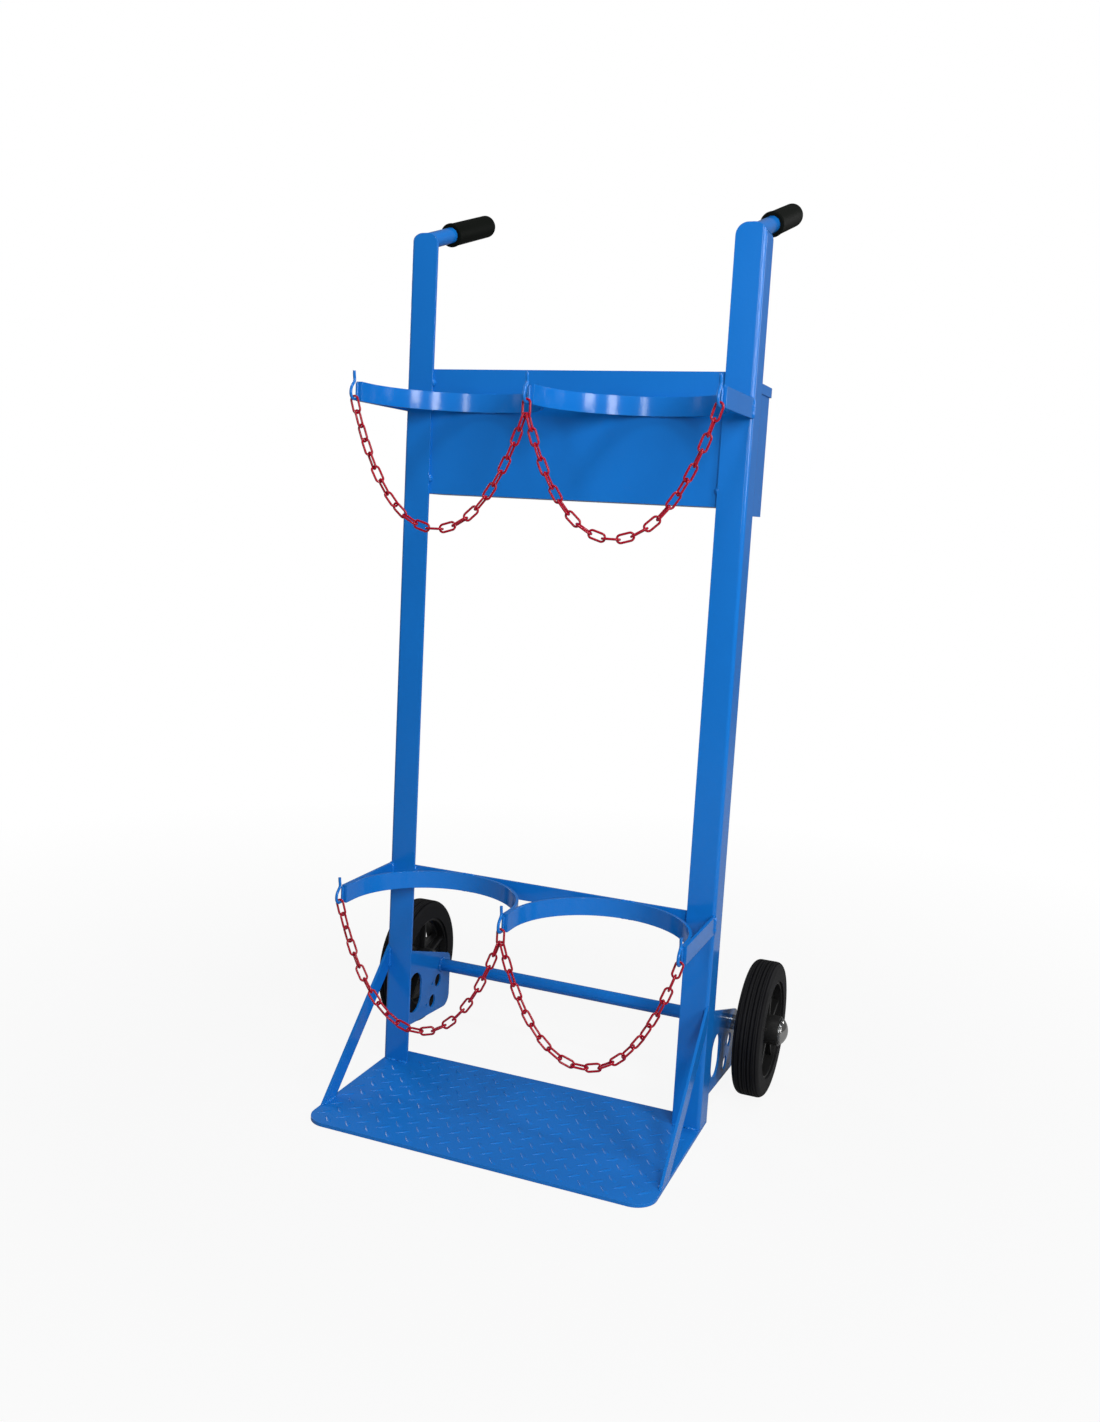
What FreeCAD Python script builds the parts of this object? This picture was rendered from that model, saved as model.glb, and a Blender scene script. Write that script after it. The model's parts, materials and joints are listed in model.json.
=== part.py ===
import FreeCAD, Part
import math
import os

# Gas cylinder trolley for two bottles standing side by side.
# Millimetres, +Z up. +X is to the right seen from the front, +Y is to the back,
# where the user, the wheels and the tool box are.
# Heights are above the floor, depths are from the front faces of the uprights.

V = FreeCAD.Vector

# Clearances
WELD_ROOT = 0.1
RUNNING = 0.05
PUSH_FIT = 0.02
BODY_GAP = 0.3

# Uprights, folded from flat steel to an equal angle
FRAME_WIDTH = 500.0
UPRIGHT_TOP = 1216.0
ANGLE_LEG = 40.0
ANGLE_T = 4.0
BEND_R = 5.0
UPRIGHT_CORNER_R = 16.0

# Deck of tread plate and its two struts
DECK_T = 5.0
DECK_REACH = 225.0
DECK_CORNER_R = 30.0
STRUT_TOP = 184.0
STRUT_ANGLE = 45.0

# Flat bar of the arms, cradles, struts and crossbar
BAR_W = 25.0
BAR_T = 4.0
ARM_REACH = 138.0
UPPER_BAR_Z = 974.5
LOWER_BAR_Z = 289.5
COPE_DEPTH = 2.5
CROSSBAR_END_GAP = 2.0

# Chain hooks of round rod
HOOK_D = 4.0
HOOK_LAND = 0.4
HOOK_FOOT_R = 4.0
HOOK_FOOT_DROP = 2.0
HOOK_SHIFT = -2.0
HOOK_BOW = 17.0
HOOK_BEND_R = 8.0
HOOK_THROAT = 8.5
HOOK_RISE = 13.0
HOOK_FLARE = 1.2

# Chains
WIRE_D = 3.0
LINK_INNER_L = 19.5
LINK_INNER_W = 7.0
LINKS_PER_SWAG = 22
CHAIN_STAND_OFF = 7.5
TWIST_PEAK = 45.0
TWIST_LINKS = 10
GAP_SAMPLES = 48
HANG_STEPS = 4
SLACK_RANGE = 20
SLACK_STEPS = 100

# Tool box between the uprights
PANEL_T = 2.0
PANEL_END_GAP = 2.0
PANEL_BOTTOM = 861.0
PANEL_ABOVE_LID = 8.0
TRAY_END_GAP = 3.0
TRAY_BOTTOM = 861.0
TRAY_RIGHT_DROP = 9.0
TRAY_DEPTH = 110.0
TRAY_T = 1.5
TRAY_FRONT_DROP = 13.0
LID_END_GAP = 1.0
LID_TOP = 1025.0
LID_T = 1.5
LID_LIP = 13.0
LID_FRONT_GAP = 2.5
LID_OVERHANG = 4.0

# Lid hinges
HINGE_X = 150.0
HINGE_LENGTH = 60.0
KNUCKLE_R = 2.8
PIN_R = 1.25
PIN_PROUD = 0.8
LEAF_T = 1.2
LEAF_REACH = 22.0
LEAF_DROP = 13.0
BARREL_STAND_OFF = 3.0

# Handles
HANDLE_DROP = 12.0
HANDLE_RISE = 18.0
HANDLE_D = 22.0
HANDLE_WALL = 2.0
GRIP_START = 88.0
GRIP_LENGTH = 130.0
GRIP_D = 31.5
GRIP_RIM_D = 33.0
GRIP_RIM_L = 5.0
GRIP_END_T = 6.0
GRIP_END_R = 9.0
GRIP_RIM_R = 2.0

# Axle and its two brackets
WHEEL_D = 200.0
AXLE_Y = 175.5
SHAFT_D = 16.0
AXLE_TUBE_D = 20.0
BRACKET_T = 3.0
BRACKET_FRONT = 8.0
BRACKET_REAR = 30.5
BRACKET_TOP_FRONT = 175.5
BRACKET_TOP_REAR = 10.8
BRACKET_LOW_FRONT = 39.0
BRACKET_LOW_REAR = 78.0
BRACKET_TOP_R = 16.0
BRACKET_LOW_R = 18.0
BIG_HOLE_Y = -93.5
BIG_HOLE_Z = -17.5
BIG_HOLE_W = 46.0
BIG_HOLE_H = 64.5
SMALL_HOLE_D = 21.0
UPPER_HOLE_Y = -12.5
UPPER_HOLE_Z = -23.0
LOWER_HOLE_Y = -31.0
LOWER_HOLE_Z = -52.5
PILOT_D = 5.0
PILOT_OFFSET = -20.0

# Wheels
TYRE_W = 40.0
TYRE_H = 28.0
TYRE_SHOULDER_R = 9.0
GROOVES = 7
GROOVE_PITCH = 4.0
GROOVE_W = 1.6
GROOVE_DEPTH = 1.2
RIM_W = 34.0
RIM_LIP_W = 3.0
RIM_LIP_H = 1.5
RIM_WALL = 2.5
HUB_L = 55.0
HUB_INNER_L = 25.0
HUB_R = 22.0
WEB_T = 8.0
SPOKES = 5
SPOKE_W = 16.0
SPOKE_DEPTH = 26.0
RIB_T = 5.0
WINDOW_HUB_EDGE = 5.0
WINDOW_RIM_EDGE = 4.0
BUSH_R = 12.0

# Fittings on the axle ends
SPACER_R = 11.0
SPACER_L = 15.2
WASHER_R = 19.0
WASHER_T = 2.0
CAP_R = 18.0
CAP_BASE_T = 2.0
CAP_DOME_H = 7.5
CAP_T = 1.2
SHAFT_IN_CAP = 4.0

# Places that several pieces share
HALF = FRAME_WIDTH / 2
LEG_INNER = HALF - ANGLE_T
TIP_Y = -ARM_REACH
CRADLE_R = (HALF - BAR_T) / 2
CRADLE_Y = ANGLE_T - WELD_ROOT - CRADLE_R
HANDLE_Z = UPRIGHT_TOP - HANDLE_DROP
PANEL_REAR = ANGLE_T + PANEL_T
PANEL_TOP = LID_TOP + PANEL_ABOVE_LID
AXLE_Z = WHEEL_D / 2
SHAFT_R = SHAFT_D / 2
LID_UNDER = LID_TOP - LID_T
HINGE_Y = PANEL_REAR + BARREL_STAND_OFF
HINGE_Z = LID_TOP + KNUCKLE_R + BODY_GAP
INNER_WASHER_X = LEG_INNER + SPACER_L
HUB_INNER_X = INNER_WASHER_X + WASHER_T + BODY_GAP
HUB_OUTER_X = HUB_INNER_X + HUB_L
WHEEL_X = HUB_INNER_X + HUB_INNER_L
RIM_LIP_R = WHEEL_D / 2 - TYRE_H
RIM_SEAT_R = RIM_LIP_R - RIM_LIP_H
RIM_INNER_R = RIM_SEAT_R - RIM_WALL
ORIGIN_Y = (AXLE_Y + WHEEL_D / 2 - DECK_REACH) / 2

nodes = {}


def box(x0, x1, y0, y1, z0, z1):
    return Part.makeBox(x1 - x0, y1 - y0, z1 - z0, V(x0, y0, z0))


def rod_x(radius, x0, x1, y, z):
    return Part.makeCylinder(radius, x1 - x0, V(x0, y, z), V(1, 0, 0))


def sleeve_x(outer, inner, x0, x1, y, z):
    return rod_x(outer, x0, x1, y, z).cut(rod_x(inner, x0, x1, y, z))


def mirrored(shape, x=0.0):
    return shape.mirror(V(x, 0, 0), V(1, 0, 0))


def both_sides(name, right):
    nodes["right_" + name] = right
    nodes["left_" + name] = mirrored(right)


def rounded_face(points, radii):
    """A flat face through the points, each corner rounded to its radius."""
    edges = []
    ends = []
    for i, corner in enumerate(points):
        before = (points[i - 1] - corner).normalize()
        after = (points[(i + 1) % len(points)] - corner).normalize()
        half = before.getAngle(after) / 2
        inward = (before + after).normalize()
        trim = radii[i] / math.tan(half)
        first = corner + before * trim
        last = corner + after * trim
        if radii[i] > 0:
            middle = corner + inward * (radii[i] / math.sin(half) - radii[i])
            edges.append(Part.Arc(first, middle, last).toShape())
        ends.append((first, last))
    for i, (first, last) in enumerate(ends):
        edges.append(Part.makeLine(last, ends[(i + 1) % len(ends)][0]))
    return Part.Face(Part.Wire(Part.__sortEdges__(edges)))


def slot_x(y, z, width, height, x0, x1):
    """An upright oval that goes through from x0 to x1."""
    straight = height - width
    body = box(x0, x1, y - width / 2, y + width / 2, z - straight / 2, z + straight / 2)
    top = rod_x(width / 2, x0, x1, y, z + straight / 2)
    return body.fuse([top, rod_x(width / 2, x0, x1, y, z - straight / 2)])


def turned_x(points, radii):
    """A body turned about the X axis from points (x, 0, radius)."""
    return rounded_face(points, radii).revolve(V(0, 0, 0), V(1, 0, 0), 360)


# Uprights: front leg facing the bottles, outer leg running back, top corners rounded
def upright():
    corner = V(HALF - BEND_R, BEND_R, 0)
    knee = corner + V(1, -1, 0).normalize() * BEND_R
    bend = Part.Arc(V(HALF - BEND_R, 0, 0), knee, V(HALF, BEND_R, 0)).toShape()
    outline = [
        V(HALF, BEND_R, 0),
        V(HALF, ANGLE_LEG, 0),
        V(LEG_INNER, ANGLE_LEG, 0),
        V(LEG_INNER, ANGLE_T, 0),
        V(HALF - ANGLE_LEG, ANGLE_T, 0),
        V(HALF - ANGLE_LEG, 0, 0),
        V(HALF - BEND_R, 0, 0),
    ]
    section = Part.Face(Part.Wire([bend] + Part.makePolygon(outline).Edges))
    section.translate(V(0, 0, DECK_T))
    angle = section.extrude(V(0, 0, UPRIGHT_TOP - DECK_T))
    front_view = rounded_face(
        [
            V(HALF - ANGLE_LEG, 0, DECK_T),
            V(HALF, 0, DECK_T),
            V(HALF, 0, UPRIGHT_TOP),
            V(HALF - ANGLE_LEG, 0, UPRIGHT_TOP),
        ],
        [0, 0, UPRIGHT_CORNER_R, UPRIGHT_CORNER_R],
    )
    side_view = rounded_face(
        [
            V(HALF - ANGLE_LEG, 0, DECK_T),
            V(HALF - ANGLE_LEG, ANGLE_LEG, DECK_T),
            V(HALF - ANGLE_LEG, ANGLE_LEG, UPRIGHT_TOP),
            V(HALF - ANGLE_LEG, 0, UPRIGHT_TOP),
        ],
        [0, 0, UPRIGHT_CORNER_R, 0],
    )
    angle = angle.common(front_view.extrude(V(0, ANGLE_LEG, 0)))
    return angle.common(side_view.extrude(V(ANGLE_LEG, 0, 0)))


right_upright = upright()
both_sides("upright", right_upright)


# Deck: one plate under the uprights, front corners rounded
deck = rounded_face(
    [
        V(-HALF, -DECK_REACH, 0),
        V(HALF, -DECK_REACH, 0),
        V(HALF, ANGLE_LEG, 0),
        V(-HALF, ANGLE_LEG, 0),
    ],
    [DECK_CORNER_R, DECK_CORNER_R, 0, 0],
)
nodes["deck_plate"] = deck.extrude(V(0, 0, DECK_T))


# Struts: flat bar on edge from the uprights down to the deck, coped round the bend
def strut():
    slope = math.tan(math.radians(STRUT_ANGLE))
    upright_cut = BAR_W / math.cos(math.radians(STRUT_ANGLE))
    reach = (STRUT_TOP - DECK_T) / slope
    reach_under = (STRUT_TOP - upright_cut - DECK_T) / slope
    lift = COPE_DEPTH * slope
    face = rounded_face(
        [
            V(HALF - BAR_T, COPE_DEPTH, STRUT_TOP + lift),
            V(HALF - BAR_T, -reach, DECK_T),
            V(HALF - BAR_T, -reach_under, DECK_T),
            V(HALF - BAR_T, COPE_DEPTH, STRUT_TOP - upright_cut + lift),
        ],
        [0, 0, 0, 0],
    )
    return face.extrude(V(BAR_T, 0, 0)).cut(right_upright)


both_sides("strut", strut())


# Crossbar: flat bar behind the uprights at the height of the lower cradles
crossbar_end = LEG_INNER - CROSSBAR_END_GAP
crossbar_top = LOWER_BAR_Z + BAR_W
nodes["lower_crossbar"] = box(
    -crossbar_end, crossbar_end, ANGLE_T, ANGLE_T + BAR_T, LOWER_BAR_Z, crossbar_top
)


# Arms and cradles at two heights: a straight arm on each side and two half rings
def arm(bottom):
    bar = box(HALF - BAR_T, HALF, TIP_Y, COPE_DEPTH, bottom, bottom + BAR_W)
    return bar.cut(right_upright)


def cradle(bottom):
    inner = CRADLE_R - BAR_T
    middle = CRADLE_R
    outside = [V(2 * CRADLE_R, TIP_Y, bottom), V(2 * CRADLE_R, CRADLE_Y, bottom)]
    inside = [V(BAR_T, CRADLE_Y, bottom), V(BAR_T, TIP_Y, bottom)]
    far = [V(0, CRADLE_Y, bottom), V(0, TIP_Y, bottom)]
    near = [V(middle + inner, CRADLE_Y, bottom), V(middle + inner, TIP_Y, bottom)]
    outer_crown = V(middle, CRADLE_Y + CRADLE_R, bottom)
    inner_crown = V(middle, CRADLE_Y + inner, bottom)
    edges = [
        Part.makeLine(outside[0], outside[1]),
        Part.Arc(outside[1], outer_crown, far[0]).toShape(),
        Part.makeLine(far[0], far[1]),
        Part.makeLine(far[1], inside[1]),
        Part.makeLine(inside[1], inside[0]),
        Part.Arc(inside[0], inner_crown, near[0]).toShape(),
        Part.makeLine(near[0], near[1]),
        Part.makeLine(near[1], outside[0]),
    ]
    return Part.Face(Part.Wire(edges)).extrude(V(0, 0, BAR_W))


# Hooks: rod welded upright to each tip, bent forward and up, drawn in at the throat
HOOK_PLACES = {
    "left": HOOK_SHIFT - (HALF - BAR_T),
    "middle": HOOK_SHIFT,
    "right": HOOK_SHIFT + (HALF - BAR_T),
}


def hook(x, bottom):
    radius = HOOK_D / 2
    lean_in = math.sin(math.pi / 4)
    head = V(x, TIP_Y - radius + HOOK_LAND, bottom + BAR_W - HOOK_FOOT_DROP)
    heel = V(x, head.y, bottom + radius + HOOK_FOOT_R)
    foot = heel + V(0, -HOOK_FOOT_R, -HOOK_FOOT_R)
    roll = heel + V(0, lean_in - 1, -lean_in) * HOOK_FOOT_R
    turn = V(x, TIP_Y + HOOK_BEND_R - HOOK_BOW, foot.z)
    bow = V(x, TIP_Y - HOOK_BOW, bottom + radius + HOOK_BEND_R)
    swing = V(0, -lean_in, 1 - lean_in) * HOOK_BEND_R
    throat = V(x, TIP_Y - HOOK_THROAT, bottom + BAR_W)
    tip = throat + V(0, -HOOK_FLARE, HOOK_RISE)
    lean = Part.BSplineCurve()
    lean.interpolate([bow, throat, tip], InitialTangent=V(0, 0, 1), FinalTangent=V(0, 0, 1))
    route = Part.Wire(
        [
            Part.makeLine(head, heel),
            Part.Arc(heel, roll, foot).toShape(),
            Part.makeLine(foot, turn),
            Part.Arc(turn, turn + swing, bow).toShape(),
            lean.toShape(),
        ]
    )
    section = Part.Wire(Part.makeCircle(radius, head, V(0, 0, 1)))
    rod = route.makePipeShell([section], True, False)
    land = box(x - HOOK_D, x + HOOK_D, TIP_Y, TIP_Y + HOOK_D, bottom, bottom + BAR_W)
    return rod.cut(land)


# Chains: each swag hangs as a catenary from an outer hook to the shared middle link
LINK_BEND_R = (LINK_INNER_W + WIRE_D) / 2
LINK_SPAN = LINK_INNER_L + WIRE_D
LINK_STEP = LINK_INNER_L - BODY_GAP
PIVOT_Y = TIP_Y - CHAIN_STAND_OFF
LINK_LIFT = (HOOK_D + WIRE_D) / 2 + BODY_GAP
PIVOT_RISE = HOOK_D / 2 + LINK_LIFT
SWAG_LENGTH = LINKS_PER_SWAG * LINK_STEP + WIRE_D + BODY_GAP
PAIR_OFFSET = (WIRE_D + BODY_GAP) / 2


def link():
    """One link standing in the XZ plane, centred on the origin."""
    straight = LINK_SPAN / 2 - LINK_BEND_R
    wire = WIRE_D / 2
    facing = V(0, 1, 0)
    bend = Part.makeTorus(LINK_BEND_R, wire, V(0, 0, 0), facing)
    size = LINK_SPAN + WIRE_D
    top = bend.common(box(-size, size, -size, size, 0, size))
    top.translate(V(0, 0, straight))
    foot = bend.common(box(-size, size, -size, size, -size, 0))
    foot.translate(V(0, 0, -straight))
    legs = [
        Part.makeCylinder(wire, 2 * straight, V(side * LINK_BEND_R, 0, -straight))
        for side in (-1, 1)
    ]
    return top.fuse([foot] + legs)


LINK = link()


def catenary(start, end, length):
    """The hanging curve of that length, as a function of the way along it."""
    across = end.x - start.x
    drop = end.z - start.z
    wanted = math.sqrt(length * length - drop * drop)
    low = across / SLACK_RANGE
    high = across * SLACK_RANGE
    for _ in range(SLACK_STEPS):
        scale = (low + high) / 2
        if 2 * scale * math.sinh(across / (2 * scale)) > wanted:
            low = scale
        else:
            high = scale
    lowest = across / 2 - scale * math.atanh(drop / length)
    first = scale * math.sinh(-lowest / scale)

    def point(way):
        along = scale * math.asinh((first + way) / scale)
        height = scale * (math.cosh(along / scale) - math.cosh(lowest / scale))
        return V(start.x + lowest + along, start.y, start.z + height)

    return point


def link_place(start, end, roll):
    """The place of a link between two points of the chain, rolled about its length."""
    along = (end - start).normalize()
    across = along.cross(V(0, 1, 0))
    facing = V(0, 1, 0) * math.cos(roll) + across * math.sin(roll)
    turn = FreeCAD.Rotation(facing.cross(along), facing, along, "ZYX")
    return FreeCAD.Placement((start + end) / 2, turn)


def hung_from(rod, end):
    """Where a swag starts, so that its slanting first link bears square on the hook's rod."""
    start = rod + V(0, 0, LINK_LIFT)
    for _ in range(HANG_STEPS):
        curve = catenary(start, end, SWAG_LENGTH)
        along = (curve(LINK_STEP) - start).normalize()
        start = rod - along * LINK_LIFT
    return start


def swag_places(start, end):
    curve = catenary(start, end, SWAG_LENGTH)
    places = []
    for i in range(LINKS_PER_SWAG):
        way = i * LINK_STEP
        twist = math.sin(math.pi * min(i / TWIST_LINKS, 1)) ** 2 * TWIST_PEAK
        roll = math.radians(90 * (i % 2) + twist)
        places.append(link_place(curve(way), curve(way + LINK_STEP + WIRE_D + BODY_GAP), roll))
    return places


def placed(place):
    copy = LINK.copy()
    copy.Placement = place
    return copy


def link_points(place):
    """Points along the wire's middle line of a placed link."""
    straight = LINK_SPAN / 2 - LINK_BEND_R
    points = []
    for i in range(GAP_SAMPLES):
        angle = 2 * math.pi * i / GAP_SAMPLES
        lift = math.copysign(straight, math.sin(angle))
        x = LINK_BEND_R * math.cos(angle)
        points.append(place.multVec(V(x, 0, LINK_BEND_R * math.sin(angle) + lift)))
    return points


def least_gap(places):
    """The least gap between neighbouring links, measured on points of their wires."""
    least = LINK_SPAN
    for one, other in zip(places, places[1:]):
        for p in link_points(one):
            for q in link_points(other):
                least = min(least, p.distanceToPoint(q) - WIRE_D)
    return least


for level, bottom in (("upper", UPPER_BAR_Z), ("lower", LOWER_BAR_Z)):
    both_sides(level + "_arm", arm(bottom))
    both_sides(level + "_cradle", cradle(bottom))
    for side, x in HOOK_PLACES.items():
        nodes[level + "_" + side + "_hook"] = hook(x, bottom)
    pivot_z = bottom + PIVOT_RISE
    hang = V(HOOK_SHIFT, PIVOT_Y, pivot_z)
    middle = link_place(hang, hang - V(0, 0, LINK_SPAN), 0)
    nodes[level + "_middle_link"] = placed(middle)
    end = hang - V(PAIR_OFFSET, 0, LINK_SPAN - LINK_BEND_R)
    rod = V(HOOK_PLACES["left"], PIVOT_Y, bottom + HOOK_D / 2)
    places = swag_places(hung_from(rod, end), end)
    swag = Part.makeCompound([placed(place) for place in places])
    nodes[level + "_left_chain"] = swag
    nodes[level + "_right_chain"] = mirrored(swag, HOOK_SHIFT)
    print(level + " chain, least gap between links:", round(least_gap(places), 3), "mm")


# Tool box: front panel welded behind the uprights, open tray of sheet behind it, hinged lid
panel_end = LEG_INNER - PANEL_END_GAP
nodes["toolbox_panel"] = box(
    -panel_end, panel_end, ANGLE_T, PANEL_REAR, PANEL_BOTTOM, PANEL_TOP
)

tray_end = LEG_INNER - TRAY_END_GAP
tray_rear = PANEL_REAR + TRAY_DEPTH
tray_top = LID_UNDER - BODY_GAP
wall_end = tray_end - TRAY_T
wall_foot = TRAY_BOTTOM + TRAY_T
nodes["toolbox_floor"] = box(
    -wall_end, wall_end, PANEL_REAR, tray_rear, TRAY_BOTTOM, wall_foot
)
nodes["toolbox_front_wall"] = box(
    -wall_end, wall_end, PANEL_REAR, PANEL_REAR + TRAY_T, wall_foot, tray_top - TRAY_FRONT_DROP
)
nodes["toolbox_back_wall"] = box(
    -wall_end, wall_end, tray_rear - TRAY_T, tray_rear, wall_foot, tray_top
)
nodes["left_toolbox_end"] = box(
    -tray_end, -wall_end, PANEL_REAR, tray_rear, TRAY_BOTTOM, tray_top
)
right_foot = TRAY_BOTTOM - TRAY_RIGHT_DROP
nodes["right_toolbox_end"] = box(
    wall_end, tray_end, PANEL_REAR, tray_rear, right_foot, tray_top
)

lid_end = LEG_INNER - LID_END_GAP
lid_front = PANEL_REAR + LID_FRONT_GAP
lid_rear = tray_rear + LID_OVERHANG
lid = box(-lid_end, lid_end, lid_front, lid_rear, LID_TOP - LID_LIP, LID_TOP)
lid_hollow = box(
    LID_T - lid_end, lid_end - LID_T, lid_front, lid_rear - LID_T, LID_TOP - LID_LIP, LID_UNDER
)
nodes["toolbox_lid"] = lid.cut(lid_hollow)


# Hinges: two fixed knuckles on the panel's back, one knuckle between them on the lid
def fixed_leaf(x):
    third = HINGE_LENGTH / 6
    bottom = HINGE_Z - LEAF_DROP
    left = x - HINGE_LENGTH / 2
    right = x + HINGE_LENGTH / 2
    plate = box(left, right, PANEL_REAR, PANEL_REAR + LEAF_T, bottom, HINGE_Z)
    notch_floor = HINGE_Z - KNUCKLE_R - BODY_GAP
    notch = box(x - third, x + third, PANEL_REAR, HINGE_Y, notch_floor, HINGE_Z)
    knuckles = [
        rod_x(KNUCKLE_R, left, x - third, HINGE_Y, HINGE_Z),
        rod_x(KNUCKLE_R, x + third, right, HINGE_Y, HINGE_Z),
    ]
    bore = rod_x(PIN_R + RUNNING, left, right, HINGE_Y, HINGE_Z)
    return plate.cut(notch).fuse(knuckles).cut(bore)


def lid_leaf(x):
    third = HINGE_LENGTH / 6
    left = x - HINGE_LENGTH / 2
    right = x + HINGE_LENGTH / 2
    rear = HINGE_Y + LEAF_REACH
    clear = HINGE_Y + KNUCKLE_R + BODY_GAP
    inner_left = x - third + BODY_GAP
    inner_right = x + third - BODY_GAP
    plate = box(left, right, clear, rear, LID_TOP, LID_TOP + LEAF_T)
    tongue = box(inner_left, inner_right, HINGE_Y, rear, LID_TOP, LID_TOP + LEAF_T)
    knuckle = rod_x(KNUCKLE_R, inner_left, inner_right, HINGE_Y, HINGE_Z)
    bore = rod_x(PIN_R + RUNNING, left, right, HINGE_Y, HINGE_Z)
    return plate.fuse([tongue, knuckle]).cut(bore)


def hinge_pin(x):
    reach = HINGE_LENGTH / 2 + PIN_PROUD
    return rod_x(PIN_R, x - reach, x + reach, HINGE_Y, HINGE_Z)


hinge_places = (-HINGE_X, HINGE_X)
nodes["hinge_fixed_leaves"] = Part.makeCompound([fixed_leaf(x) for x in hinge_places])
nodes["hinge_lid_leaves"] = Part.makeCompound([lid_leaf(x) for x in hinge_places])
nodes["hinge_pins"] = Part.makeCompound([hinge_pin(x) for x in hinge_places])


# Handles: a tube in each upright's corner, rising to the back, with a closed grip on it
def along_handle(shape):
    shape.rotate(V(0, 0, 0), V(1, 0, 0), HANDLE_RISE)
    shape.translate(V(LEG_INNER - WELD_ROOT - HANDLE_D / 2, ANGLE_T, HANDLE_Z))
    return shape


def handle_tube():
    radius = HANDLE_D / 2
    length = GRIP_START + GRIP_LENGTH - GRIP_END_T
    tube = Part.makeCylinder(radius, length + HANDLE_D, V(0, -HANDLE_D, 0), V(0, 1, 0))
    bore = Part.makeCylinder(
        radius - HANDLE_WALL, length + HANDLE_D, V(0, -HANDLE_D, 0), V(0, 1, 0)
    )
    tube = along_handle(tube.cut(bore))
    front = box(0, FRAME_WIDTH, -FRAME_WIDTH, ANGLE_T, HANDLE_Z - HALF, HANDLE_Z + HALF)
    return tube.cut(front)


def grip():
    end = GRIP_START + GRIP_LENGTH
    rim_end = GRIP_START + GRIP_RIM_L
    bore = HANDLE_D / 2 + PUSH_FIT
    face = rounded_face(
        [
            V(bore, GRIP_START, 0),
            V(GRIP_RIM_D / 2, GRIP_START, 0),
            V(GRIP_RIM_D / 2, rim_end, 0),
            V(GRIP_D / 2, rim_end, 0),
            V(GRIP_D / 2, end, 0),
            V(0, end, 0),
            V(0, end - GRIP_END_T, 0),
            V(bore, end - GRIP_END_T, 0),
        ],
        [0, GRIP_RIM_R, 0, 0, GRIP_END_R, 0, 0, 0],
    )
    return along_handle(face.revolve(V(0, 0, 0), V(0, 1, 0), 360))


both_sides("handle_tube", handle_tube())
both_sides("grip", grip())


# Axle: lightened bracket plates on the outer legs, a tube between them, a shaft through all
def axle_bracket():
    x0 = LEG_INNER - BRACKET_T
    x1 = LEG_INNER
    rear = AXLE_Y + BRACKET_REAR
    plate = rounded_face(
        [
            V(x0, BRACKET_FRONT, BRACKET_TOP_FRONT),
            V(x0, rear, AXLE_Z + BRACKET_TOP_REAR),
            V(x0, rear, AXLE_Z - BRACKET_LOW_REAR),
            V(x0, BRACKET_FRONT, BRACKET_LOW_FRONT),
        ],
        [0, BRACKET_TOP_R, BRACKET_LOW_R, 0],
    ).extrude(V(BRACKET_T, 0, 0))
    holes = [
        rod_x(SHAFT_R + PUSH_FIT, x0, x1, AXLE_Y, AXLE_Z),
        slot_x(AXLE_Y + BIG_HOLE_Y, AXLE_Z + BIG_HOLE_Z, BIG_HOLE_W, BIG_HOLE_H, x0, x1),
    ]
    for y, z in ((UPPER_HOLE_Y, UPPER_HOLE_Z), (LOWER_HOLE_Y, LOWER_HOLE_Z)):
        holes.append(rod_x(SMALL_HOLE_D / 2, x0, x1, AXLE_Y + y, AXLE_Z + z))
        holes.append(rod_x(PILOT_D / 2, x0, x1, AXLE_Y + y + PILOT_OFFSET, AXLE_Z + z))
    return plate.cut(holes)


both_sides("axle_bracket", axle_bracket())

tube_end = LEG_INNER - BRACKET_T
nodes["axle_tube"] = sleeve_x(
    AXLE_TUBE_D / 2, SHAFT_R + WELD_ROOT, -tube_end, tube_end, AXLE_Y, AXLE_Z
)

outer_washer_x = HUB_OUTER_X + BODY_GAP
cap_x = outer_washer_x + WASHER_T
shaft_end = cap_x + CAP_BASE_T + SHAFT_IN_CAP
nodes["axle_shaft"] = rod_x(SHAFT_R, -shaft_end, shaft_end, AXLE_Y, AXLE_Z)


# Wheels: rubber tyre in a channel rim, spoked web, hub turning on a bush
def at_wheel(shape):
    shape.translate(V(WHEEL_X, AXLE_Y, AXLE_Z))
    return shape


def tyre():
    side = TYRE_W / 2
    bead = RIM_W / 2 - RIM_LIP_W - PUSH_FIT
    lip = RIM_LIP_R + PUSH_FIT
    seat = RIM_SEAT_R + PUSH_FIT
    outline = [
        V(-side, 0, lip),
        V(-side, 0, WHEEL_D / 2),
        V(side, 0, WHEEL_D / 2),
        V(side, 0, lip),
        V(bead, 0, lip),
        V(bead, 0, seat),
        V(-bead, 0, seat),
        V(-bead, 0, lip),
    ]
    body = turned_x(outline, [0, TYRE_SHOULDER_R, TYRE_SHOULDER_R, 0, 0, 0, 0, 0])
    grooves = []
    for i in range(GROOVES):
        x = (i - (GROOVES - 1) / 2) * GROOVE_PITCH - GROOVE_W / 2
        floor = WHEEL_D / 2 - GROOVE_DEPTH
        grooves.append(sleeve_x(WHEEL_D / 2 + GROOVE_DEPTH, floor, x, x + GROOVE_W, 0, 0))
    return at_wheel(body.cut(grooves))


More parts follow.
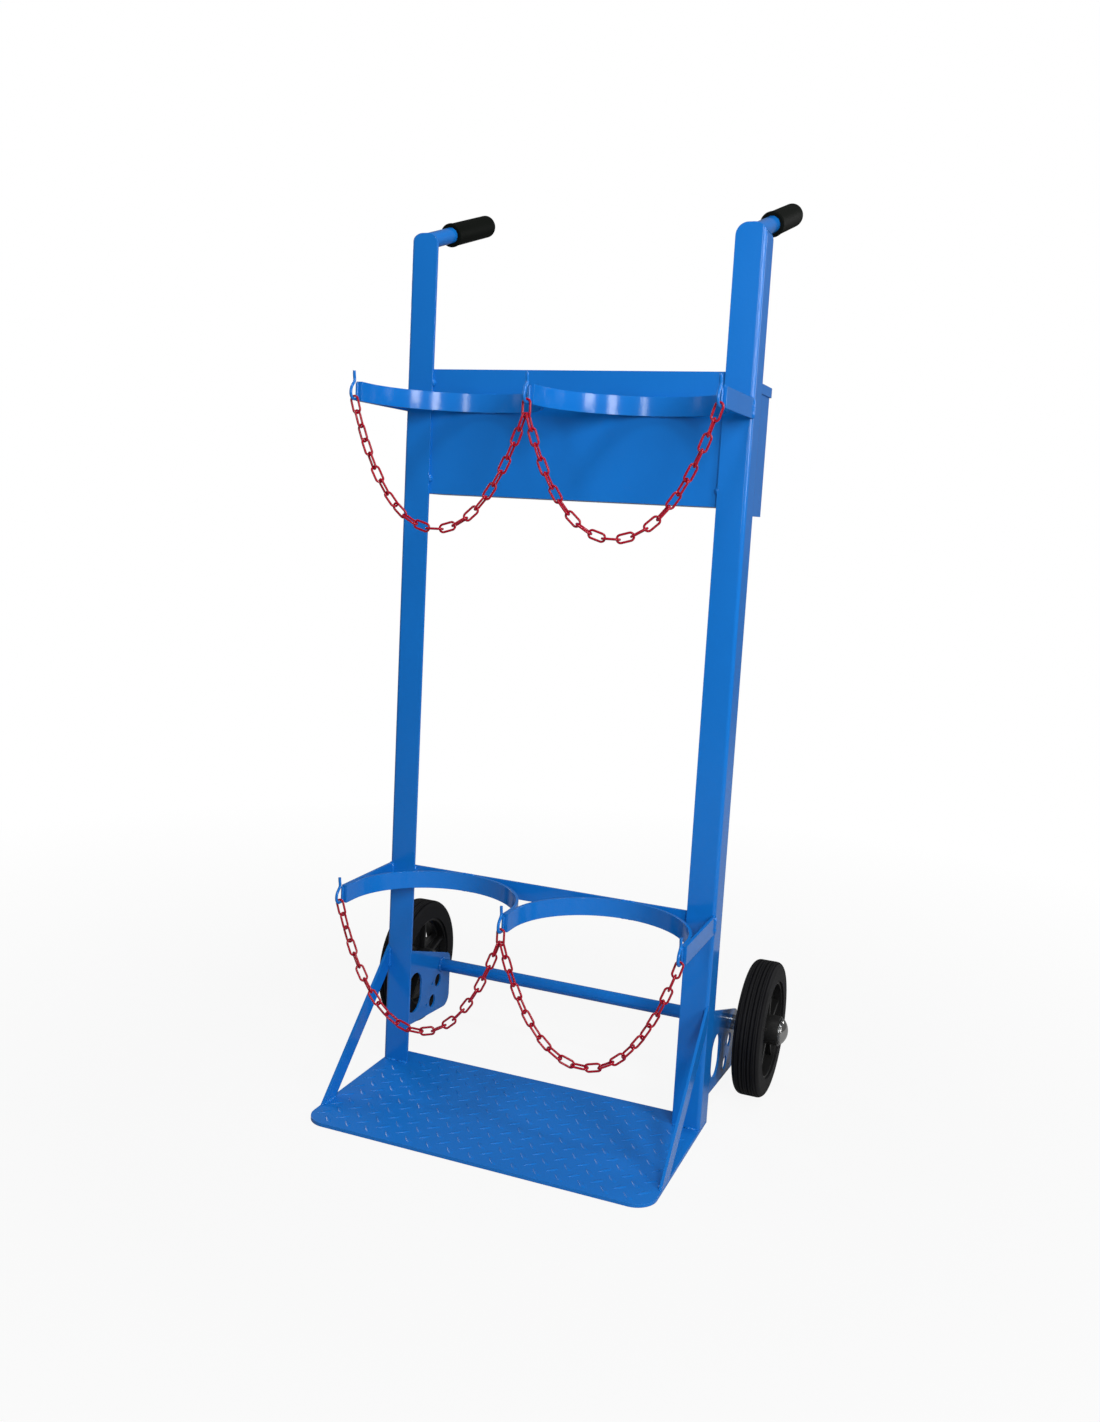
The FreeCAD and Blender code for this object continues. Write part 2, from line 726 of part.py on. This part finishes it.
def wheel_rim():
    side = RIM_W / 2
    seat = side - RIM_LIP_W
    outline = [
        V(-side, 0, RIM_INNER_R),
        V(side, 0, RIM_INNER_R),
        V(side, 0, RIM_LIP_R),
        V(seat, 0, RIM_LIP_R),
        V(seat, 0, RIM_SEAT_R),
        V(-seat, 0, RIM_SEAT_R),
        V(-seat, 0, RIM_LIP_R),
        V(-side, 0, RIM_LIP_R),
    ]
    ring = turned_x(outline, [0] * len(outline))
    hub = rod_x(HUB_R, -HUB_INNER_L, HUB_L - HUB_INNER_L, 0, 0)
    web = rod_x(RIM_INNER_R, -WEB_T / 2, WEB_T / 2, 0, 0)
    window_in = HUB_R + WINDOW_HUB_EDGE
    window_out = RIM_INNER_R - WINDOW_RIM_EDGE
    windows = sleeve_x(window_out, window_in, -WEB_T, WEB_T, 0, 0)
    spokes = []
    ribs = []
    for i in range(SPOKES):
        spoke = box(-WEB_T, WEB_T, -SPOKE_W / 2, SPOKE_W / 2, 0, RIM_INNER_R)
        rib = box(-SPOKE_DEPTH / 2, SPOKE_DEPTH / 2, -RIB_T / 2, RIB_T / 2, 0, RIM_INNER_R)
        for piece in (spoke, rib):
            piece.rotate(V(0, 0, 0), V(1, 0, 0), 360 * i / SPOKES)
        spokes.append(spoke)
        ribs.append(rib)
    web = web.cut(windows.cut(spokes))
    bore = rod_x(BUSH_R + PUSH_FIT, -HUB_L, HUB_L, 0, 0)
    return at_wheel(ring.fuse([hub, web] + ribs).cut(bore))


def hub_cap():
    """A domed push-on cap, open inside round the shaft's end."""
    dome_r = (CAP_R * CAP_R + CAP_DOME_H * CAP_DOME_H) / (2 * CAP_DOME_H)
    crown = CAP_BASE_T + CAP_DOME_H
    dome = Part.makeSphere(dome_r, V(crown - dome_r, 0, 0))
    hollow = Part.makeSphere(dome_r - CAP_T, V(crown - dome_r, 0, 0))
    front = rod_x(CAP_R, CAP_BASE_T, crown, 0, 0)
    shell = front.common(dome).cut(hollow)
    base = rod_x(CAP_R, 0, CAP_BASE_T, 0, 0)
    cap = base.fuse(shell).cut(rod_x(SHAFT_R + PUSH_FIT, 0, CAP_BASE_T, 0, 0))
    cap.translate(V(cap_x, AXLE_Y, AXLE_Z))
    return cap


both_sides("tyre", tyre())
both_sides("wheel_rim", wheel_rim())
both_sides(
    "wheel_bush",
    sleeve_x(BUSH_R, SHAFT_R + RUNNING, HUB_INNER_X, HUB_OUTER_X, AXLE_Y, AXLE_Z),
)
both_sides(
    "axle_spacer",
    sleeve_x(SPACER_R, SHAFT_R + PUSH_FIT, LEG_INNER, INNER_WASHER_X, AXLE_Y, AXLE_Z),
)
for end, x in (("inner", INNER_WASHER_X), ("outer", outer_washer_x)):
    washer = sleeve_x(WASHER_R, SHAFT_R + PUSH_FIT, x, x + WASHER_T, AXLE_Y, AXLE_Z)
    both_sides(end + "_washer", washer)
both_sides("hub_cap", hub_cap())


# Every piece is moved so that the origin is on the floor under the middle of the trolley
os.makedirs("parts", exist_ok=True)
for name, shape in nodes.items():
    shape.translate(V(0, -ORIGIN_Y, 0))
    shape.exportStep("parts/" + name + ".step")
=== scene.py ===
import json
import math

import bmesh
import bpy
from mathutils import Matrix, Vector


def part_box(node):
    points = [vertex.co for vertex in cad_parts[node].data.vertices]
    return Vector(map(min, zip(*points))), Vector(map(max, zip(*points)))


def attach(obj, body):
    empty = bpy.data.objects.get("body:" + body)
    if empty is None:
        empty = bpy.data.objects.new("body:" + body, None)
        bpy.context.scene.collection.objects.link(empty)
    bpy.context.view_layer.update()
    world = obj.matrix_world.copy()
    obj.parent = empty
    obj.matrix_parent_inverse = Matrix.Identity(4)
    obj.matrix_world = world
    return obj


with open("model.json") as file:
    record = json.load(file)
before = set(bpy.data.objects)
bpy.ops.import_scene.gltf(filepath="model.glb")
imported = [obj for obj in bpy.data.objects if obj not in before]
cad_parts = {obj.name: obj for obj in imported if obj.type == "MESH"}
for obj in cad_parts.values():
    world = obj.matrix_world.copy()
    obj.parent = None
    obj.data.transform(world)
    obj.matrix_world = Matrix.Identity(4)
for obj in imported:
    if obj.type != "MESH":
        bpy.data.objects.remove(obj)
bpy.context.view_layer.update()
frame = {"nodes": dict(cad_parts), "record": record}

nodes = frame["nodes"]


# Welded frame: angle uprights, flat bar arms, cradles and struts, axle brackets,
# axle tube and handle tubes, with the folded sheet tool box between the uprights.
# Everything is sprayed after welding in one thick coat of glossy blue enamel.

class Shade:
    """A value inside a material. Sums and products of it add the maths nodes."""

    def __init__(self, tree, socket=None):
        self.tree = tree
        self.socket = socket

    def node(self, kind, settings=None, inputs=None, out=0):
        made = self.tree.nodes.new("ShaderNode" + kind)
        for name, value in (settings or {}).items():
            setattr(made, name, value)
        for key, value in (inputs or {}).items():
            if isinstance(value, Shade):
                self.tree.links.new(value.socket, made.inputs[key])
            else:
                made.inputs[key].default_value = value
        return Shade(self.tree, made.outputs[out] if made.outputs else None)

    def maths(self, operation, first, second):
        return self.node("Math", {"operation": operation}, {0: first, 1: second})

    def __add__(self, other):
        return self.maths("ADD", self, other)

    def __radd__(self, other):
        return self.maths("ADD", other, self)

    def __sub__(self, other):
        return self.maths("SUBTRACT", self, other)

    def __mul__(self, other):
        return self.maths("MULTIPLY", self, other)

    def __rmul__(self, other):
        return self.maths("MULTIPLY", other, self)

    def blend(self, first, second):
        """Between two colours, with this value as the share of the second."""
        settings = {"data_type": "RGBA"}
        return self.node("Mix", settings, {0: self, 6: first, 7: second}, out=2)


def start_material(name):
    material = bpy.data.materials.new(name)
    material.use_nodes = True
    material.node_tree.nodes.clear()
    return material, Shade(material.node_tree)


def close_material(shade, inputs):
    """The surface shader with its inputs, joined to the material's output."""
    surface = shade.node("BsdfPrincipled", {}, inputs)
    shade.node("OutputMaterial", {}, {"Surface": surface})


def noise(shade, place, scale, detail=2.0, rough=0.5):
    inputs = {"Vector": place, "Scale": scale, "Detail": detail, "Roughness": rough}
    return shade.node("TexNoise", {}, inputs)


def object_place(shade):
    return shade.node("TexCoord", {}, {}, out=3)


def soft_edge(shade, radius):
    """Normals eased over sharp edges, as a thick coat or a moulded edge has them."""
    return shade.node("Bevel", {"samples": 6}, {"Radius": radius})


def bumped(shade, height, distance, strength, normal):
    inputs = {"Height": height, "Distance": distance, "Strength": strength, "Normal": normal}
    return shade.node("Bump", {}, inputs)


CLOUD_SCALE = 5.0
SPECK_SCALE = 900.0
SPECK_SHARE = 0.25
PEEL_SCALE = 260.0
PEEL_STRENGTH = 0.5
GLOSS_VARIES = 0.08
PAINT_SHINE = 0.30


def enamel(name, light, dark, roughness, peel, edge):
    """Sprayed gloss paint: cloudy tone, orange peel and softened edges."""
    material, shade = start_material(name)
    place = object_place(shade)
    cloud = noise(shade, place, CLOUD_SCALE, detail=3.0)
    speck = noise(shade, place, SPECK_SCALE)
    ripple = noise(shade, place, PEEL_SCALE, detail=1.0)
    tone = cloud * (1.0 - SPECK_SHARE) + speck * SPECK_SHARE
    close_material(shade, {
        "Base Color": tone.blend(dark, light),
        "Roughness": roughness + cloud * GLOSS_VARIES,
        "Normal": bumped(shade, ripple, peel, PEEL_STRENGTH, soft_edge(shade, edge)),
        "Specular IOR Level": PAINT_SHINE,
    })
    return material


BLUE_LIGHT = (0.007, 0.172, 0.59, 1.0)
BLUE_DARK = (0.004, 0.130, 0.47, 1.0)
blue_enamel = enamel(
    "blue_enamel", BLUE_LIGHT, BLUE_DARK, roughness=0.11, peel=0.00015, edge=0.0009
)
slots = {part["node"]: part["material_slot"] for part in frame["record"]["subparts"]}


def dress(slot, material):
    """Gives every piece of the frame in that slot its finish."""
    for name, obj in nodes.items():
        if slots[name] == slot:
            obj.data.materials.clear()
            obj.data.materials.append(material)


dress("blue_paint", blue_enamel)


# Deck: rolled steel tread plate. The raised tear-shaped lugs are rolled into the
# sheet in two crossing directions. The blue enamel is duller on its rough skin.

LUG_PITCH = 0.031
LUG_LENGTH = 0.021
LUG_WIDTH = 0.0060
LUG_HEIGHT = 0.0009
LUG_EDGE_GAP = 0.012
LUG_TURN = math.radians(45)
LUG_TAPER = 0.45
LUG_SIDES = 12
LUG_RINGS = 6


def new_piece(name, bm, material, body):
    """Makes the mesh an object of that name, dressed and riding on its body."""
    mesh = bpy.data.meshes.new(name)
    bm.to_mesh(mesh)
    bm.free()
    obj = bpy.data.objects.new(name, mesh)
    bpy.context.scene.collection.objects.link(obj)
    mesh.materials.append(material)
    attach(obj, body)
    return obj


def smooth(bm):
    for face in bm.faces:
        face.smooth = True


def join(whole, part):
    """Adds a finished part to a larger mesh."""
    scratch = bpy.data.meshes.new("scratch")
    part.to_mesh(scratch)
    part.free()
    whole.from_mesh(scratch)
    bpy.data.meshes.remove(scratch)


def add_lug(whole, place, turn):
    """Half of a stretched ball, thicker towards one end."""
    lug = bmesh.new()
    bmesh.ops.create_uvsphere(lug, u_segments=LUG_SIDES, v_segments=LUG_RINGS, radius=1.0)
    below = [v for v in lug.verts if v.co.z < -1.0 / LUG_RINGS]
    bmesh.ops.delete(lug, geom=below, context="VERTS")
    for v in lug.verts:
        v.co.y *= 1.0 + LUG_TAPER * v.co.x
    size = Matrix.Diagonal((LUG_LENGTH / 2, LUG_WIDTH / 2, LUG_HEIGHT, 1.0))
    lay = Matrix.Translation(place) @ Matrix.Rotation(turn, 4, "Z") @ size
    bmesh.ops.transform(lug, matrix=lay, verts=lug.verts[:])
    join(whole, lug)


def on_deck(x, y, low, high, corner):
    """Whether a lug's middle lies on the plate, clear of its edges and round corners."""
    inside = low.x + LUG_EDGE_GAP < x < high.x - LUG_EDGE_GAP
    inside = inside and low.y + LUG_EDGE_GAP < y < high.y - LUG_EDGE_GAP
    over_x = abs(x) - (high.x - corner)
    over_y = (low.y + corner) - y
    if over_x > 0 and over_y > 0:
        return inside and math.hypot(over_x, over_y) < corner - LUG_EDGE_GAP
    return inside


DECK_CORNER = 0.030
deck_low, deck_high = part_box("deck_plate")
up_low, up_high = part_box("right_upright")


def under_upright(x, y):
    return up_low.x - LUG_EDGE_GAP < abs(x) and y > up_low.y - LUG_EDGE_GAP


tread = bmesh.new()
columns = math.ceil((deck_high.x - deck_low.x) / LUG_PITCH)
rows = math.ceil((deck_high.y - deck_low.y) / LUG_PITCH)
for row in range(2 * rows):
    for column in range(columns + 1):
        odd = row % 2
        lean = 1 if odd else -1
        x = deck_low.x + LUG_PITCH * (column + odd / 2)
        y = deck_low.y + LUG_PITCH * (row + 1) / 2
        if on_deck(x, y, deck_low, deck_high, DECK_CORNER) and not under_upright(x, y):
            add_lug(tread, Vector((x, y, deck_high.z)), lean * LUG_TURN)
smooth(tread)
deck_enamel = enamel(
    "deck_enamel", BLUE_LIGHT, BLUE_DARK, roughness=0.28, peel=0.0004, edge=0.0009
)
nodes["deck_plate"].data.materials[0] = deck_enamel
new_piece("deck_tread", tread, deck_enamel, "frame")


# Weld beads: short hand-laid runs where the bars, plates and tubes meet, with the
# ripple of the puddle, painted over with the rest of the frame.

BEAD_R = 0.0026
BEAD_STEP = 0.0016
BEAD_RIPPLE = 0.16
RIPPLE_TURN = 2.1
DRIFT_TURN = 0.7
END_SWELL = 0.35
BEAD_SIDES = 8
BEAD_OUT = 0.0003
welds = bmesh.new()


def add_bead(points, radius=BEAD_R):
    """A rippled run of weld through the points, tapering off at both ends."""
    bead = bmesh.new()
    rings = []
    total = len(points)
    for i, point in enumerate(points):
        along = points[min(i + 1, total - 1)] - points[max(i - 1, 0)]
        turn = along.to_track_quat("Z", "Y").to_matrix().to_4x4()
        drift = math.sin(i * DRIFT_TURN) / 2
        wave = 1.0 + BEAD_RIPPLE * (math.sin(i * RIPPLE_TURN) + drift)
        end = min(i, total - 1 - i)
        swell = min(1.0, END_SWELL * (1 + end))
        made = bmesh.ops.create_circle(
            bead,
            segments=BEAD_SIDES,
            radius=radius * wave * swell,
            matrix=Matrix.Translation(point) @ turn,
            cap_ends=i in (0, total - 1),
        )
        rings.append(list({e for v in made["verts"] for e in v.link_edges}))
    for ring, following in zip(rings, rings[1:]):
        bmesh.ops.bridge_loops(bead, edges=ring + following)
    join(welds, bead)


def straight_run(start, end):
    steps = max(3, round((end - start).length / BEAD_STEP))
    return [start.lerp(end, i / steps) for i in range(steps + 1)]


def ring_run(centre, axis, radius, gap=0.0):
    """Points round an axis, leaving out that angle at the top."""
    turn = axis.to_track_quat("Z", "Y")
    sweep = math.tau - gap
    steps = round(radius * sweep / BEAD_STEP)
    first = (math.pi + gap) / 2
    points = []
    for i in range(steps + 1):
        angle = first + sweep * i / steps
        points.append(centre + turn @ Vector((math.cos(angle), math.sin(angle), 0)) * radius)
    return points


def both_sides(start, end, radius=BEAD_R):
    """The same straight run on the right and on the left."""
    for side in (1, -1):
        flip = Vector((side, 1, 1))
        add_bead(straight_run(start * flip, end * flip), radius)


PANEL_RUN = 0.011
TACK_R = 0.0038
TACK_BELOW_TOP = 0.024
TACK_ABOVE_FOOT = 0.016
CORNER_BACK = 0.0012
CROWN_RUN = 0.022
CROWN_BEAD_R = 0.0015
STRUT_HEAD_RUN = 0.032
STRUT_FOOT_RUN = 0.030
STRUT_END_GAP = 0.004
FOOT_RUN = 0.016
BEND_R = 0.005
BRACKET_RUN = 0.028
BRACKET_SHARES = (0.2, 0.5, 0.8)
TUBE_BEAD_R = 0.0022
TUBE_BEAD_IN = 0.0006
HANDLE_BEAD_R = 0.0032
HANDLE_RISE = math.radians(18)
HANDLE_GAP = math.radians(130)


def up_by(length):
    return Vector((0, 0, length))


def right_by(length):
    return Vector((length, 0, 0))


front = up_low.y - BEAD_OUT
panel_low, panel_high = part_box("toolbox_panel")
for z in (panel_high.z - TACK_BELOW_TOP, panel_low.z + TACK_ABOVE_FOOT):
    edge = Vector((up_low.x, panel_low.y - BEAD_OUT, z))
    both_sides(edge, edge + up_by(PANEL_RUN), TACK_R)
bar_low, bar_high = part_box("lower_crossbar")
edge = Vector((up_low.x, bar_low.y - BEAD_OUT, bar_low.z))
both_sides(edge, edge + up_by(bar_high.z - bar_low.z))
for level in ("upper", "lower"):
    arm_low, arm_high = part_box("right_" + level + "_arm")
    ring_low, ring_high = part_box("right_" + level + "_cradle")
    edge = Vector((arm_low.x - BEAD_OUT, front, arm_low.z))
    both_sides(edge, edge + up_by(arm_high.z - arm_low.z))
    corner = Vector((arm_high.x - BEAD_OUT, arm_high.y - CORNER_BACK, arm_low.z))
    both_sides(corner, corner + up_by(arm_high.z - arm_low.z))
    edge = Vector((arm_low.x, front, arm_high.z - BEAD_OUT))
    both_sides(edge, edge + right_by(arm_high.x - arm_low.x))
    for z in (ring_low.z, ring_high.z):
        crown = Vector(((ring_low.x + ring_high.x) / 2, ring_high.y - BEAD_OUT, z))
        half = right_by(CROWN_RUN / 2)
        both_sides(crown - half, crown + half, CROWN_BEAD_R)
strut_low, strut_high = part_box("right_strut")
deck_face = deck_high.z + BEAD_OUT
edge = Vector((strut_low.x - BEAD_OUT, front, strut_high.z - STRUT_END_GAP))
both_sides(edge - up_by(STRUT_HEAD_RUN), edge)
edge = Vector((strut_low.x - BEAD_OUT, strut_low.y + STRUT_END_GAP, deck_face))
both_sides(edge, edge + Vector((0, STRUT_FOOT_RUN, 0)))
for x in (up_low.x, up_high.x - BEND_R - FOOT_RUN):
    edge = Vector((x, front, deck_face))
    both_sides(edge, edge + right_by(FOOT_RUN))
bracket_low, bracket_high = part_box("right_axle_bracket")
for share in BRACKET_SHARES:
    z = bracket_low.z + (bracket_high.z - bracket_low.z) * share
    edge = Vector((bracket_high.x + BEAD_OUT, up_high.y + BEAD_OUT, z))
    both_sides(edge, edge + up_by(BRACKET_RUN))
tube_low, tube_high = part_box("axle_tube")
axle = (tube_low + tube_high) / 2
tube_r = (tube_high.z - tube_low.z) / 2
for x in (tube_low.x + TUBE_BEAD_IN, tube_high.x - TUBE_BEAD_IN):
    centre = Vector((x, axle.y, axle.z))
    add_bead(ring_run(centre, Vector((1, 0, 0)), tube_r + BEAD_OUT), TUBE_BEAD_R)
handle_axis = Vector((0, math.cos(HANDLE_RISE), math.sin(HANDLE_RISE)))
for side in ("left", "right"):
    tube_low, tube_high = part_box(side + "_handle_tube")
    tube_r = (tube_high.x - tube_low.x) / 2
    foot_z = tube_low.z + tube_r / handle_axis.y
    foot = Vector(((tube_low.x + tube_high.x) / 2, tube_low.y, foot_z))
    run = ring_run(foot + handle_axis * HANDLE_BEAD_R, handle_axis, tube_r, HANDLE_GAP)
    add_bead(run, HANDLE_BEAD_R)
smooth(welds)
bmesh.ops.recalc_face_normals(welds, faces=welds.faces[:])
new_piece("weld_beads", welds, blue_enamel, "frame")


# Chains: short welded links of round steel wire, painted red. At each height two swags
# hang from the rod hooks on the tips of the half rings.

RED_LIGHT = (0.43, 0.003, 0.020, 1.0)
RED_DARK = (0.25, 0.002, 0.012, 1.0)
red_enamel = enamel(
    "red_chain_enamel", RED_LIGHT, RED_DARK, roughness=0.16, peel=0.0002, edge=0.0004
)
dress("red_chain", red_enamel)


# Grips: sleeves of black moulded rubber with a rim at the open end, pushed over the
# handle tubes. The mould leaves a fine matte grain on them.

PATCH_SCALE = 30.0
PATCH_DETAIL = 4.0
GRAIN_DETAIL = 3.0
GRAIN_ROUGH = 0.6
GRAIN_STRENGTH = 0.6
DULL_VARIES = 0.18


def rubber(name, light, dark, roughness, shine, grain, depth, edge):
    """Black rubber: patchy tone, fine grain and eased edges."""
    material, shade = start_material(name)
    place = object_place(shade)
    patch = noise(shade, place, PATCH_SCALE, PATCH_DETAIL)
    fine = noise(shade, place, grain, GRAIN_DETAIL, GRAIN_ROUGH)
    normal = bumped(shade, fine, depth, GRAIN_STRENGTH, soft_edge(shade, edge))
    close_material(shade, {
        "Base Color": patch.blend(dark, light),
        "Roughness": roughness + DULL_VARIES * patch,
        "Normal": normal,
        "Specular IOR Level": shine,
    })
    return material


grip_rubber = rubber(
    "grip_rubber",
    light=(0.006, 0.007, 0.006, 1.0),
    dark=(0.003, 0.004, 0.003, 1.0),
    roughness=0.42,
    shine=0.02,
    grain=700.0,
    depth=0.0003,
    edge=0.0008,
)
dress("grip_rubber", grip_rubber)


# Wheels: solid rubber tyres with fine ribs round the tread, pressed on black moulded
# rims that turn on plain bushes.

RIB_PITCH = 0.0062
RIB_DEPTH = 0.0012
GROOVE_SHARE = 0.34
# Painted shade: the grooves between the ribs are coloured darker than the rib tops.
GROOVE_SHADE_BLACK = (0.002, 0.002, 0.003, 1.0)
RIB_TOP_BLACK = (0.016, 0.016, 0.017, 1.0)
LEAST_WEAR = 0.35
DUST_SCALE = 420.0
DUST_DEPTH = 0.0004
TYRE_EDGE = 0.0008
TYRE_ROUGHNESS = 0.50
TYRE_SHINE = 0.05
tyre_low, tyre_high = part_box("right_tyre")
tyre_middle = (tyre_low + tyre_high) / 2


def ribbed_tread(shade, place):
    """Height of the tread over its grooves, which run round the wheel side by side."""
    side = shade.node("SeparateXYZ", {}, {0: place})
    across = shade.maths("ABSOLUTE", side, 0.0) - (tyre_middle.x + RIB_PITCH / 2)
    wave = shade.maths("PINGPONG", across, RIB_PITCH / 2) * (2 / RIB_PITCH)
    return shade.node("MapRange", {"interpolation_type": "SMOOTHSTEP"}, {
        "Value": wave,
        "From Min": GROOVE_SHARE / 2,
        "From Max": GROOVE_SHARE,
    })


tyre_rubber, shade = start_material("tyre_rubber")
place = object_place(shade)
patch = noise(shade, place, PATCH_SCALE, PATCH_DETAIL)
dust = noise(shade, place, DUST_SCALE, GRAIN_DETAIL, GRAIN_ROUGH)
ribs = ribbed_tread(shade, place)
grain = bumped(shade, dust, DUST_DEPTH, GRAIN_STRENGTH, soft_edge(shade, TYRE_EDGE))
# Base colour: painted shade darkens the grooves, and the rib tops are lighter with patchy
# wear over them.
rib_wear_and_groove_shade = ribs * (LEAST_WEAR + (1.0 - LEAST_WEAR) * patch)
close_material(shade, {
    "Base Color": rib_wear_and_groove_shade.blend(GROOVE_SHADE_BLACK, RIB_TOP_BLACK),
    "Roughness": TYRE_ROUGHNESS + DULL_VARIES * patch,
    "Normal": bumped(shade, ribs, RIB_DEPTH, strength=1.0, normal=grain),
    "Specular IOR Level": TYRE_SHINE,
})
dress("tyre_rubber", tyre_rubber)
rim_plastic = rubber(
    "rim_plastic",
    light=(0.015, 0.015, 0.015, 1.0),
    dark=(0.009, 0.009, 0.009, 1.0),
    roughness=0.34,
    shine=0.16,
    grain=900.0,
    depth=0.0001,
    edge=0.0012,
)
dress("rim_plastic", rim_plastic)
bush_plastic = rubber(
    "bush_plastic",
    light=(0.62, 0.60, 0.54, 1.0),
    dark=(0.50, 0.48, 0.42, 1.0),
    roughness=0.40,
    shine=0.20,
    grain=900.0,
    depth=0.0001,
    edge=0.0005,
)
dress("bush_plastic", bush_plastic)


# Axle fittings: turned steel shaft, spacers, washers and hinge pins with bright zinc
# plating, and pressed domed caps with a brighter polish.

HAZE_SCALE = 45.0
MARK_SCALE = 800.0
MARK_DEPTH = 0.00005
MARK_STRENGTH = 0.1
POLISH_VARIES = 0.12


def plated(name, light, dark, roughness, edge):
    """Plated steel: slightly clouded colour and fine handling marks."""
    material, shade = start_material(name)
    place = object_place(shade)
    haze = noise(shade, place, HAZE_SCALE, detail=4.0)
    marks = noise(shade, place, MARK_SCALE)
    normal = bumped(shade, marks, MARK_DEPTH, MARK_STRENGTH, soft_edge(shade, edge))
    close_material(shade, {
        "Base Color": haze.blend(dark, light),
        "Metallic": 1.0,
        "Roughness": roughness + POLISH_VARIES * haze,
        "Normal": normal,
    })
    return material


zinc = plated(
    "bright_zinc",
    light=(0.30, 0.31, 0.31, 1.0),
    dark=(0.20, 0.21, 0.22, 1.0),
    roughness=0.20,
    edge=0.0003,
)
dress("zinc_steel", zinc)
cap_metal = plated(
    "polished_cap",
    light=(0.46, 0.46, 0.45, 1.0),
    dark=(0.36, 0.36, 0.36, 1.0),
    roughness=0.08,
    edge=0.0004,
)
dress("bright_cap", cap_metal)


# Studio: a plain pale floor that fades into a white surround, soft panels of light,
# and the camera where the photographer stood.

FLOOR_SIZE = 30.0
floor_mesh = bmesh.new()
bmesh.ops.create_grid(floor_mesh, x_segments=1, y_segments=1, size=FLOOR_SIZE)
floor_data = bpy.data.meshes.new("studio_floor")
floor_mesh.to_mesh(floor_data)
floor_mesh.free()
floor = bpy.data.objects.new("studio_floor", floor_data)
bpy.context.scene.collection.objects.link(floor)


MIRRORED_SHARE = 0.08


def seen_plainly(shade):
    """One for rays from the camera, less for a mirror or glass, nothing for other light."""
    rays = shade.tree.nodes.new("ShaderNodeLightPath")
    direct = Shade(shade.tree, rays.outputs["Is Camera Ray"])
    mirrored = Shade(shade.tree, rays.outputs["Is Glossy Ray"])
    through = Shade(shade.tree, rays.outputs["Is Transmission Ray"])
    return direct + (mirrored + through) * MIRRORED_SHARE


FLOOR_GREY = (0.42, 0.42, 0.42, 1.0)
WHITE = (1.0, 1.0, 1.0, 1.0)
FLOOR_LIFT = 0.91
FADE_START = 0.6
FADE_END = 1.9
floor_paper, shade = start_material("pale_paper")
diffuse = shade.node("BsdfDiffuse", {}, {"Color": FLOOR_GREY})
glow = shade.node("Emission", {}, {"Color": WHITE, "Strength": 1.0})
reach = shade.node("VectorMath", {"operation": "LENGTH"}, {0: object_place(shade)}, out=1)
fade = shade.node("MapRange", {}, {
    "Value": reach,
    "From Min": FADE_START,
    "From Max": FADE_END,
    "To Min": FLOOR_LIFT,
    "To Max": 1.0,
})
share = seen_plainly(shade) * fade
paper = shade.node("MixShader", {}, {0: share, 1: diffuse, 2: glow})
shade.node("OutputMaterial", {}, {"Surface": paper})
floor_data.materials.append(floor_paper)

AMBIENT = 0.11
world = bpy.data.worlds.new("studio")
world.use_nodes = True
world.node_tree.nodes.clear()
shade = Shade(world.node_tree)
strength = seen_plainly(shade) * (1.0 - AMBIENT) + AMBIENT
sky = shade.node("Background", {}, {"Color": WHITE, "Strength": strength})
shade.node("OutputWorld", {}, {"Surface": sky})
bpy.context.scene.world = world


LIT_POINT = Vector((0.0, 0.0, 0.9))


def add_panel(name, place, width, height, power):
    """A soft rectangular light that faces the middle of the trolley."""
    light = bpy.data.lights.new(name, "AREA")
    light.shape = "RECTANGLE"
    light.size = width
    light.size_y = height
    light.energy = power
    obj = bpy.data.objects.new(name, light)
    bpy.context.scene.collection.objects.link(obj)
    obj.location = place
    obj.rotation_euler = (LIT_POINT - Vector(place)).to_track_quat("-Z", "Y").to_euler()


add_panel("front_panel", (0.1, -3.0, 1.5), width=0.36, height=1.2, power=16.0)
add_panel("key_panel", (1.4, -1.7, 1.6), width=0.4, height=1.1, power=26.0)
add_panel("right_panel", (2.7, -1.1, 1.5), width=0.65, height=1.2, power=40.0)
add_panel("left_panel", (-2.6, -0.9, 1.4), width=0.6, height=1.6, power=2.5)
add_panel("ceiling_panel", (0.5, -0.8, 3.0), width=0.45, height=0.45, power=20.0)
add_panel("back_right_panel", (2.1, 2.4, 1.8), width=0.9, height=1.4, power=24.0)
add_panel("back_left_panel", (-2.5, 1.5, 1.8), width=0.9, height=1.4, power=26.0)

FRAME_HEIGHT_PX = 1422
FOCAL_PX = 1271.76
SENSOR_MM = 36.0
CAMERA_AZIMUTH = math.radians(21.58)
CAMERA_TILT = math.radians(8.71)
CAMERA_ROLL = math.radians(-3.06)
CAMERA_PLACE = Vector((0.63952, -1.65821, 0.83844))
ahead = Vector((
    -math.sin(CAMERA_AZIMUTH) * math.cos(CAMERA_TILT),
    math.cos(CAMERA_AZIMUTH) * math.cos(CAMERA_TILT),
    -math.sin(CAMERA_TILT),
))
level_right = Vector((math.cos(CAMERA_AZIMUTH), math.sin(CAMERA_AZIMUTH), 0))
level_down = ahead.cross(level_right)
right = math.cos(CAMERA_ROLL) * level_right + math.sin(CAMERA_ROLL) * level_down
up = math.sin(CAMERA_ROLL) * level_right - math.cos(CAMERA_ROLL) * level_down
lens = bpy.data.cameras.new("camera")
lens.sensor_fit = "VERTICAL"
lens.sensor_height = SENSOR_MM
lens.lens = FOCAL_PX / FRAME_HEIGHT_PX * SENSOR_MM
camera = bpy.data.objects.new("camera", lens)
bpy.context.scene.collection.objects.link(camera)
turn = Matrix((right, up, -ahead)).transposed().to_4x4()
camera.matrix_world = Matrix.Translation(CAMERA_PLACE) @ turn
bpy.context.scene.camera = camera
bpy.context.scene.view_settings.view_transform = "Standard"
